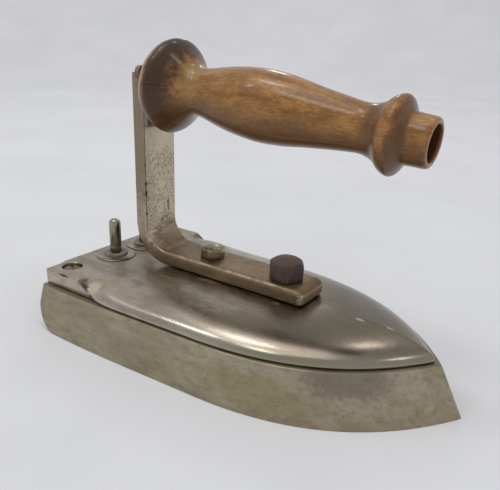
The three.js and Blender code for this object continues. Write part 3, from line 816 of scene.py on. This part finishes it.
def sole_look():
    g = Graph("sole_nickel_worn")
    colour, clouds, mottle = nickel_base(g, (0.46, 0.402, 0.295), (0.335, 0.288, 0.2), (0.325, 0.3, 0.145),
                                         (0.42, 0.315, 0.235))
    height = g.axis("Z")
    # darker olive patches towards the bottom of the sole
    low_darkening = g.both(g.band(height, 1 * MM, 8 * MM, 0.4, 0), g.band(g.noise(90, 5, 0.65), 0.42, 0.62))
    colour = g.blend(low_darkening, colour, (0.17, 0.15, 0.07))
    stain = g.near((108, -39, 8), (48, 12, 9), 1.1)
    colour = g.blend(g.both(stain, 0.45), colour, (0.27, 0.25, 0.11))
    smudge = g.near((143, -26, 16), (24, 16, 8), 0.9)
    colour = g.blend(g.both(smudge, 0.65), colour, (0.22, 0.175, 0.145))
    edge = g.both(g.band(height, 0.5 * MM, 3.5 * MM, 0.4, 0),
                  g.band(g.axis("X"), HEEL_X + 95 * MM, HEEL_X + 125 * MM))
    colour = g.blend(edge, colour, (0.36, 0.26, 0.18))
    colour = g.blend(g.pits(430, 0.13, 60, 0.4, 0.55), colour, (0.12, 0.1, 0.06))
    # painted shade: the sole's top land is darkened where the cover's foot shades it
    land_shade = g.both(g.band(g.facing("Z"), 0.75, 0.95), g.band(height, 17.4 * MM, 17.8 * MM))
    colour = g.blend(g.both(land_shade, 0.45), colour, (0.12, 0.1, 0.07))
    rough = g.math("ADD", g.band(clouds, 0.3, 0.7, 0.38, 0.48), g.band(mottle, 0.35, 0.7, -0.04, 0.1))
    normal = g.bump(g.noise(48, 2, 0.4), 0.5 * MM, 0.3)
    normal = g.bump(mottle, 0.05 * MM, 0.5, normal)
    return g.set(Base_Color=colour, Metallic=1.0, Roughness=rough, Normal=normal)


def cover_look():
    g = Graph("cover_nickel_polished")
    colour, clouds, mottle = nickel_base(g, (0.53, 0.46, 0.39), (0.4, 0.343, 0.28), (0.36, 0.32, 0.21),
                                         (0.5, 0.4, 0.35))
    height = g.axis("Z")
    x = g.axis("X")
    upper = g.band(height, 22.5 * MM, 27 * MM)
    # painted shade: the cover's front, and its upper band a little, are darkened for their dimmer
    # reflections
    front_shade = g.band(x, HEEL_X + 78 * MM, HEEL_X + 122 * MM, 0, 0.7)
    colour = g.blend(g.math("ADD", front_shade, g.both(upper, 0.12)), colour, (0.165, 0.135, 0.105))
    tarnish = g.noise(130, 6, 0.7, 0.4, g.stretch((0.4, 1, 1)))
    colour = g.blend(g.both(upper, g.band(tarnish, 0.44, 0.6, 0, 0.6)), colour, (0.21, 0.19, 0.115))
    # painted reflection: the low band is lighter greenish grey, as if mirroring the floor
    low_band_reflection = g.both(g.band(height, 20 * MM, 23 * MM, 0.5, 0),
                      g.band(x, HEEL_X + 60 * MM, HEEL_X + 80 * MM))
    colour = g.blend(low_band_reflection, colour, (0.4, 0.38, 0.27))
    pits = g.both(g.pits(700, 0.16, 90, 0.45, 0.6), g.both(upper, 0.6))
    colour = g.blend(pits, colour, (0.08, 0.065, 0.045))
    # painted highlights: two small bright spots near the nose, where dents would catch the light
    dent_highlights = g.either(g.near((135.1, -1.8, 27), (2.4, 0.9, 2), 0.5),
                     g.near((145.9, 0.8, 25.9), (2.2, 0.8, 2), 0.5))
    colour = g.blend(g.both(dent_highlights, 0.5), colour, (0.9, 0.78, 0.68))
    # painted shade: a dark band along the cover's foot, where it meets the sole
    seam_shade = g.band(height, 18.5 * MM, 19.1 * MM, 0.6, 0)
    colour = g.blend(seam_shade, colour, SEAM_SHADE_COLOUR)
    chips = g.either(g.near((69, -11, 28), (7, 1.5, 2), 0.9),
                     g.near((103.5, -10.9, 28), (2.4, 1.3, 2), 0.8))
    chips = g.both(chips, g.band(g.noise(1100, 3, 0.6), 0.36, 0.44))
    colour = g.blend(g.both(chips, 0.8), colour, (0.92, 0.87, 0.76))
    for side in (-1, 1):
        # painted shade: a dark line in the crease where the dome meets the lug's sloping front
        crease = g.both(g.near((28, side * 40, 21.6), (8.5, 2.2, 6), 0.15),
                        g.band(slope_distance(g), 0.15 * MM, 0.6 * MM, 0.8, 0))
        colour = g.blend(crease, colour, (0.03, 0.024, 0.016))
        # painted shade: the corner where the dome meets the lug's top front edge is darkened
        hollow = g.near((22.6, side * 38.6, 24.6), (1.9, 3.1, 2), 0.4)
        colour = g.blend(g.both(hollow, 0.6), colour, (0.14, 0.115, 0.085))
        # painted highlight on the dome's rounded end beside the lug
        bulge_highlight = g.near((29.5, side * 38.6, 22.9), (5, 4.5, 3.6), 0.9)
        colour = g.blend(g.both(bulge_highlight, 0.6), colour, (0.85, 0.79, 0.58))
        rust = g.near((12.4, side * 40.9, 25.0), (4.6, 1.5, 0.8), 0.8)
        colour = g.blend(rust, colour, (0.16, 0.075, 0.04))
    polished = g.band(clouds, 0.3, 0.7, 0.19, 0.24)
    deck = g.both(g.band(g.facing("Z"), 0.94, 0.99), g.band(x, HEEL_X + 20 * MM, HEEL_X + 50 * MM, 0.2, 0))
    worn = g.both(upper, g.band(mottle, 0.35, 0.7, 0.06, 0.14))
    rough = g.math("ADD", polished, g.math("ADD", deck, worn))
    normal = g.bump(g.noise(34, 2, 0.4), 0.5 * MM, 0.2)
    normal = g.bump(g.both(mottle, upper), 0.05 * MM, 0.5, normal)
    return g.set(Base_Color=colour, Metallic=1.0, Roughness=rough, Normal=normal)


def slope_distance(g):
    """Distance ahead of or behind the plane of the lugs' sloping fronts, in metres."""
    run, drop = LUG["toe"] - LUG["front"], (DECK - COVER_FOOT) / MM
    across = math.hypot(run, drop)
    front = HEEL_X + LUG["front"] * MM
    along_x = g.math("MULTIPLY_ADD", g.axis("X"), drop / across, -front * drop / across)
    along_z = g.math("MULTIPLY_ADD", g.axis("Z"), run / across, -DECK * run / across)
    return g.math("ABSOLUTE", g.math("ADD", along_x, along_z))


def bracket_look():
    g = Graph("bracket_nickel_pitted")
    height = g.axis("Z")
    clouds = g.noise(60, 4, 0.6, 0.4)
    mottle = g.noise(520, 5, 0.7, 0.3)
    brown = g.band(g.math("MULTIPLY_ADD", g.noise(90, 4, 0.6), 10 * MM, height), 39 * MM, 50 * MM, 1, 0)
    light = g.blend(brown, (0.66, 0.57, 0.43), (0.31, 0.215, 0.13))
    dark = g.blend(brown, (0.5, 0.43, 0.31), (0.17, 0.115, 0.065))
    colour = g.blend(g.band(clouds, 0.34, 0.66), dark, light)
    colour = g.blend(g.band(mottle, 0.5, 0.75, 0, 0.45), colour, (0.2, 0.165, 0.115))
    sideways = g.math("ABSOLUTE", g.facing("Y"))
    # the bar's side faces are darker, more so higher up
    uneven_height = g.math("MULTIPLY_ADD", g.noise(110, 5, 0.65), 44 * MM, height)
    darker_sides = g.band(uneven_height, 62 * MM, 88 * MM, 0.3, 0.78)
    colour = g.blend(g.both(g.band(sideways, 0.75, 0.92), darker_sides), colour, (0.22, 0.17, 0.115))
    upright = g.band(height, 36 * MM, 44 * MM)
    corner = g.both(g.band(sideways, 0.15, 0.4), g.band(sideways, 0.75, 0.92, 1, 0))
    colour = g.blend(g.both(g.both(corner, upright), 0.85), colour, (0.09, 0.07, 0.05))
    worn = g.both(g.both(corner, g.band(upright, 0, 1, 1, 0)),
                  g.band(g.noise(180, 4, 0.6), 0.4, 0.6, 0.1, 0.7))
    colour = g.blend(worn, colour, (0.5, 0.44, 0.33))
    front = g.band(g.facing("X"), 0.7, 0.9)
    colour = g.blend(g.both(g.both(front, brown), 0.5), colour, (0.55, 0.4, 0.26))
    zone = g.both(g.band(height, 36 * MM, 48 * MM), g.band(height, 72 * MM, 84 * MM, 1, 0))
    small = g.pits(1500, 0.46, 170, 0.37, 0.56)
    large = g.pits(700, 0.26, 130, 0.46, 0.58)
    pitted = g.both(g.either(small, large), zone)
    colour = g.blend(g.both(pitted, g.math("MULTIPLY_ADD", front, 0.65, 0.2)), colour, (0.13, 0.1, 0.07))
    bar_front = (BAR_FRONT_X - HEEL_X) / MM
    foot_front = (BAR_HI.x - HEEL_X) / MM
    rusty = g.either(g.near((bar_front, 4.8, 52), (1.5, 1.2, 4.2), 1.3),
                     g.near((bar_front, 0.6, 45), (1.5, 1, 1.2), 1.2))
    rusty = g.either(rusty, g.band(g.noise(200, 4, 0.6), 0.66, 0.72, 0, 0.5))
    colour = g.blend(g.both(rusty, 0.7), colour, RUST)
    for spot, size, _ in NICKS:
        nick = g.near((bar_front, -9.5, spot), (size, size, size * 1.2), 0.5)
        colour = g.blend(nick, colour, (0.05, 0.04, 0.03))
    bend = g.near((36, 2, 40), (7, 12, 9), 0.8)
    scratches = g.noise(420, 4, 0.6, 0.2, g.stretch((1, 0.2, 1)))
    colour = g.blend(g.both(bend, g.band(scratches, 0.42, 0.6, 0.25, 0.8)), colour, (0.24, 0.165, 0.12))
    glint = g.both(g.near((36, -5.5, 37.5), (7, 5.5, 8), 0.6), g.band(scratches, 0.42, 0.52, 1, 0))
    colour = g.blend(g.both(glint, 0.9), colour, (0.95, 0.9, 0.78))
    filed = g.both(g.near((foot_front - 0.6, -9.2, 31.5), (2.2, 1.8, 4.5), 0.6),
                   g.band(g.noise(900, 3, 0.6), 0.4, 0.55))
    colour = g.blend(g.both(filed, 0.6), colour, (0.75, 0.67, 0.52))
    rough = g.math("ADD", g.band(clouds, 0.3, 0.7, 0.32, 0.42), g.band(mottle, 0.4, 0.7, -0.04, 0.12))
    rough = g.math("ADD", rough, g.both(brown, 0.1))
    normal = g.bump(g.noise(60, 2, 0.4), 0.4 * MM, 0.3)
    normal = g.bump(g.both(g.noise(260, 4, 0.6, 0.3, g.stretch((0.5, 1, 1))), brown), 0.35 * MM, 0.6, normal)
    normal = g.bump(g.math("SUBTRACT", mottle, g.both(pitted, 1.6)), 0.14 * MM, 0.7, normal)
    normal = g.bump(g.both(scratches, bend), 0.9 * MM, 1.0, normal)
    return g.set(Base_Color=colour, Metallic=1.0, Roughness=rough, Normal=normal)


def plain_metal(name, colour, dark, rough, lumps=0.05):
    """A small metal part: one colour clouded with a darker one, and lumps this deep in millimetres."""
    g = Graph(name)
    clouds = g.noise(260, 4, 0.6)
    base = g.blend(g.band(clouds, 0.35, 0.65), dark, colour)
    g.set(Base_Color=base, Metallic=1.0, Roughness=g.band(clouds, 0.3, 0.7, rough - 0.06, rough + 0.08))
    return g.set(Normal=g.bump(clouds, lumps * MM, 0.6)) if lumps else g.material


def rusted(name):
    g = Graph(name)
    lumps = g.noise(330, 6, 0.65)
    colour = g.blend(g.band(lumps, 0.35, 0.65), (0.045, 0.027, 0.024), (0.12, 0.07, 0.058))
    top = g.band(g.facing("Z"), 0.6, 0.95)
    colour = g.blend(g.both(top, 0.5), colour, (0.19, 0.125, 0.1))
    return g.set(Base_Color=colour, Metallic=0.25, Roughness=g.band(lumps, 0.3, 0.7, 0.45, 0.7),
                 Normal=g.bump(lumps, 0.3 * MM, 0.8))


def lacquered_wood(name):
    """Honey-brown turned wood under old lacquer, darkened by heat on the flange."""
    g = Graph(name)
    turn = (0, HANDLE_TILT, 0)
    figure = g.noise(240, 5, 0.65, 0.2, g.stretch((0.22, 1, 1), turn))
    flecks = g.noise(1900, 4, 0.6, 0.2, g.stretch((0.22, 1, 1), turn))
    fibres = g.noise(800, 3, 0.6, 0.2, g.stretch((0.04, 1, 1), turn))
    clouds = g.noise(60, 4, 0.6, 0.4)
    colour = g.blend(g.band(figure, 0.36, 0.64), (0.25, 0.1, 0.022), (0.435, 0.205, 0.05))
    colour = g.blend(g.band(clouds, 0.45, 0.66, 0, 0.62), colour, (0.22, 0.1, 0.026))
    colour = g.blend(g.band(flecks, 0.5, 0.66, 0, 0.55), colour, (0.15, 0.062, 0.016))
    colour = g.blend(g.band(flecks, 0.3, 0.44, 0.45, 0), colour, (0.6, 0.35, 0.1))
    colour = g.blend(g.band(fibres, 0.55, 0.8, 0, 0.45), colour, (0.11, 0.045, 0.012))
    rotate = g.node("ShaderNodeVectorRotate", rotation_type="Y_AXIS")
    g.fill(rotate, Vector=g.vectors("SUBTRACT", g.object, (BAR_FRONT_X, 0, HANDLE_Z)), Angle=-HANDLE_TILT)
    local = rotate.outputs["Vector"]
    along = g.axis("X", local)
    up = g.axis("Z", local)
    place = g.math("MULTIPLY_ADD", g.noise(170, 4, 0.6), 6 * MM, g.math("ADD", along, -3 * MM))
    neck = g.both(g.band(along, 17 * MM, 21 * MM), g.band(place, 24 * MM, 29 * MM, 0.4, 0))
    colour = g.blend(neck, colour, (0.36, 0.25, 0.085))
    rim = g.band(place, 6 * MM, 7.8 * MM, 0.8, 0)
    colour = g.blend(rim, colour, (0.45, 0.23, 0.09))
    streaks = g.noise(480, 3, 0.55, 0, g.stretch((0.12, 1, 1), turn))
    burn = g.math("ADD", place, g.band(streaks, 0.3, 0.7, -1.5 * MM, 1.5 * MM))
    scorched = g.both(g.band(place, 7 * MM, 9 * MM), g.band(burn, 14.5 * MM, 21 * MM, 0.93, 0))
    colour = g.blend(scorched, colour, (0.038, 0.014, 0.006))
    for start, full, fading, end, dark in ((95, 100, 103, 106, (0.085, 0.036, 0.012)),
                                           (108.4, 109.6, 112, 114, (0.1, 0.042, 0.012))):
        ring = g.both(g.band(place, start * MM, full * MM), g.band(place, fading * MM, end * MM, 0.7, 0))
        colour = g.blend(ring, colour, dark)
    # painted shade: the grip's underside is darkened
    under = g.band(g.facing("Z"), -0.85, 0.25, 0.9, 0)
    colour = g.blend(under, colour, (0.09, 0.037, 0.012))
    off_crack = g.math("ABSOLUTE", g.math("SUBTRACT", up, CRACK_HEIGHT * MM))
    crack = g.both(g.band(off_crack, 0.1 * MM, 0.3 * MM, 1, 0),
                   g.both(g.band(along, 8 * MM, 9 * MM), g.band(place, 15 * MM, 17 * MM, 1, 0)))
    crack = g.both(crack, g.band(g.facing("Y"), -0.1, 0.1, 1, 0))
    colour = g.blend(crack, colour, (0.006, 0.003, 0.002))
    from_axis = g.vectors("LENGTH", g.vectors("MULTIPLY", local, (0, 1, 1)))
    # painted shade: the inside of the bore is darkened
    bore = g.both(g.band(from_axis, 6.5 * MM, 6.8 * MM, 1, 0), g.band(along, 119 * MM, 120 * MM, 1, 0))
    colour = g.blend(bore, colour, (0.075, 0.026, 0.01))
    normal = g.bump(fibres, 0.03 * MM, 0.5, g.bump(clouds, 0.5 * MM, 0.2))
    return g.set(Base_Color=colour, Roughness=g.band(clouds, 0.3, 0.7, 0.36, 0.5), Coat_Weight=0.6,
                 Coat_Roughness=0.17, Specular_IOR_Level=0.15, Normal=normal)


def dull(name, colour, dark, rough=0.7):
    g = Graph(name)
    lumps = g.noise(350, 4, 0.6)
    return g.set(Base_Color=g.blend(g.band(lumps, 0.35, 0.65), dark, colour), Roughness=rough,
                 Normal=g.bump(lumps, 0.06 * MM, 0.6))


MATERIALS = {
    "sole": sole_look(),
    "cover": cover_look(),
    "bracket": bracket_look(),
    "pin": plain_metal("pin_nickel", (0.36, 0.335, 0.26), (0.24, 0.22, 0.165), 0.17, 0),
    "washer": plain_metal("washer_nickel", (0.43, 0.385, 0.31), (0.29, 0.255, 0.2), 0.36),
    "bolt": plain_metal("bolt_nickel", (0.37, 0.305, 0.215), (0.24, 0.19, 0.13), 0.28, 0),
    "screw": plain_metal("screw_steel", (0.3, 0.27, 0.2), (0.16, 0.14, 0.1), 0.45),
    "rod": plain_metal("rod_steel", (0.42, 0.4, 0.36), (0.26, 0.24, 0.21), 0.36),
    "rust": rusted("rusty_steel"),
    "iron": plain_metal("bare_iron", (0.2, 0.19, 0.18), (0.12, 0.11, 0.1), 0.7),
    "brass": plain_metal("old_brass", (0.6, 0.45, 0.22), (0.35, 0.24, 0.1), 0.4),
    "ribbon": plain_metal("ribbon_alloy", (0.3, 0.28, 0.26), (0.18, 0.17, 0.16), 0.5),
    "mica": dull("mica", (0.62, 0.52, 0.38), (0.45, 0.36, 0.24), 0.35),
    "mat": dull("mineral_mat", (0.75, 0.73, 0.68), (0.6, 0.58, 0.53), 0.95),
    "insulator": dull("insulator", (0.25, 0.225, 0.185), (0.16, 0.14, 0.115), 0.55),
    "spacer": dull("spacer_fibre", (0.3, 0.22, 0.16), (0.14, 0.1, 0.075), 0.5),
    "wood": lacquered_wood("lacquered_wood"),
}

# ---- camera ----
CAMERA = {"azimuth": 33.9, "elevation": 20.08, "roll": 2.0, "distance": 237.92, "focal": 41.12,
          "target": (82.83, 44.28)}  # the target is in the middle plane: from the heel, and above the floor


def direction(azimuth, elevation):
    """A unit vector. Azimuth 0 is the -Y side and 90 the nose's side."""
    a, e = math.radians(azimuth), math.radians(elevation)
    return Vector((math.sin(a) * math.cos(e), -math.cos(a) * math.cos(e), math.sin(e)))


def place_camera():
    target = Vector((HEEL_X + CAMERA["target"][0] * MM, 0, CAMERA["target"][1] * MM))
    r = math.radians(CAMERA["roll"])
    back = direction(CAMERA["azimuth"], CAMERA["elevation"])
    right = direction(CAMERA["azimuth"] + 90, 0)
    up = back.cross(right)
    side = right * math.cos(r) + up * math.sin(r)
    top = up * math.cos(r) - right * math.sin(r)
    data = bpy.data.cameras.new("camera")
    data.lens = CAMERA["focal"]
    data.sensor_width = 36
    data.clip_start = 0.005
    camera = bpy.data.objects.new("camera", data)
    turn = Matrix((side, top, back)).transposed().to_4x4()
    camera.matrix_world = Matrix.Translation(target + back * CAMERA["distance"] * MM) @ turn
    bpy.context.scene.collection.objects.link(camera)
    bpy.context.scene.camera = camera


place_camera()

# ---- pieces ----
finish_piece(build_sole(), "sole", "sole_nickel", "sole_plate")
even_normals(finish_piece(build_cover(), "cover", "cover_nickel", "top_cover"))
finish_piece(build_bracket(), "bracket", "bracket_steel", "handle_bracket")
BOLTS = (  # node, width across flats, turn, shank radius, material, slot
    ("clamp_bolt", 13, 0.12, 3.9, "rust", "rusty_steel"),
    ("bracket_bolt", 9.4, -0.2, 2.8, "bolt", "bolt_nickel"),
)
for node, flats, turn, shank, look, slot in BOLTS:
    bolt = build_hex_bolt(f"{node}_head", node, flats, turn, shank)
    finish_piece(bolt, look, slot, node, sharp=50)
finish_piece(build_grip(), "wood", "lacquered_wood", "wooden_grip")
finish_piece(build_spacer(), "spacer", "spacer_fibre", "grip_spacer")
finish_piece(build_rod(), "rod", "rod_steel", "handle_rod")
SIDE_PIECES = (  # piece, node, builder, material, slot
    ("lug_screw", "cover_screw", build_cover_screw, "screw", "screw_steel"),
    ("pin", "contact_pin", build_pin, "pin", "pin_nickel"),
    ("washer", "pin_washer", build_washer, "washer", "washer_nickel"),
    ("bushing", "pin_bushing", build_bushing, "insulator", "insulator"),
)
for side in ("right", "left"):
    for piece, node, build, look, slot in SIDE_PIECES:
        finish_piece(build(f"{piece}_{side}", f"{node}_{side}"), look, slot, f"{node}_{side}")

CAD_LOOKS = {
    "lower_mica_sheet": "mica", "upper_mica_sheet": "mica", "insulation_mat": "mat",
    "heating_ribbon": "ribbon", "pressure_plate": "iron", "rod_washer": "rod", "rod_nut": "rust",
}
for side in ("right", "left"):
    CAD_LOOKS[f"pin_backing_washer_{side}"] = "mica"
    CAD_LOOKS[f"pin_nut_{side}"] = "brass"
    CAD_LOOKS[f"lead_strip_{side}"] = "brass"
for node, look in CAD_LOOKS.items():
    paint(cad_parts[node], look)


# ---- floor and light ----
def build_floor():
    """A round pale floor that sweeps up into a low wall, the same from every side."""
    flat, wall, height = 1.3, 2.1, 1.1
    profile = [(0.0, 0.0), (flat, 0.0)]
    for i in range(1, 17):
        angle = i / 16 * math.pi / 2
        profile.append((flat + (wall - flat) * math.sin(angle), (wall - flat) * (1 - math.cos(angle))))
    profile.append((wall, height))
    segments = 96
    points = []
    for radius, z in profile:
        points += [(radius * math.cos(a), radius * math.sin(a), z) for a in full_turn(segments)]
    faces = []
    for low in range(0, (len(profile) - 1) * segments, segments):
        for j in range(segments):
            k = (j + 1) % segments
            faces.append((low + j, low + k, low + segments + k, low + segments + j))
    mesh = bpy.data.meshes.new("floor")
    mesh.from_pydata(points, [], faces)
    floor = new_object("floor", mesh)
    for face in mesh.polygons:
        face.use_smooth = True
    g = Graph("pale_floor")
    cloud = g.noise(7, 3, 0.5)
    colour = g.blend(g.band(cloud, 0.3, 0.7), (0.78, 0.78, 0.8), (0.82, 0.82, 0.845))
    mesh.materials.append(g.set(Base_Color=colour, Roughness=0.9))


def area_light(name, azimuth, elevation, size, radiance, colour=(1, 1, 1)):
    """A rectangular light that faces the iron."""
    distance = 2.0
    towards = direction(azimuth, elevation)
    data = bpy.data.lights.new(name, "AREA")
    data.shape = "RECTANGLE"
    data.size, data.size_y = size
    data.energy = radiance * math.pi * size[0] * size[1]
    data.color = colour
    light = bpy.data.objects.new(name, data)
    target = Vector((0, 0, 50 * MM))
    light.matrix_world = (Matrix.Translation(target + towards * distance)
                          @ towards.to_track_quat("Z", "Y").to_matrix().to_4x4())
    bpy.context.scene.collection.objects.link(light)


NEUTRAL = (1.0, 0.98, 0.95)
COOL = (0.9, 0.96, 1.0)
DAYLIGHT = (0.84, 1.0, 0.9)
LIGHTS = (  # name, azimuth, elevation, size in metres, radiance, colour
    ("panel", -60, 80, (1.3, 1.3), 1.37, NEUTRAL),
    ("tube_front_left", -55, 53, (0.14, 0.3), 13, COOL),
    ("tube_overhead", -80, 73, (0.16, 0.4), 11, NEUTRAL),
    ("window_front", -17, 62, (0.3, 0.34), 5.6, DAYLIGHT),
    ("lamp_back", 178, 61, (0.18, 0.18), 9, NEUTRAL),
    ("lamp_back_low", -150, 28, (0.16, 0.16), 12, NEUTRAL),
    ("lamp_nose", 101, 54, (0.16, 0.16), 10, NEUTRAL),
)


def light_scene():
    world = bpy.data.worlds.new("studio")
    world.use_nodes = True
    back = world.node_tree.nodes["Background"]
    back.inputs["Color"].default_value = (0.97, 0.98, 1, 1)
    back.inputs["Strength"].default_value = 0.56
    bpy.context.scene.world = world
    for light in LIGHTS:
        area_light(*light)


build_floor()
light_scene()
bpy.context.scene.view_settings.view_transform = "Standard"
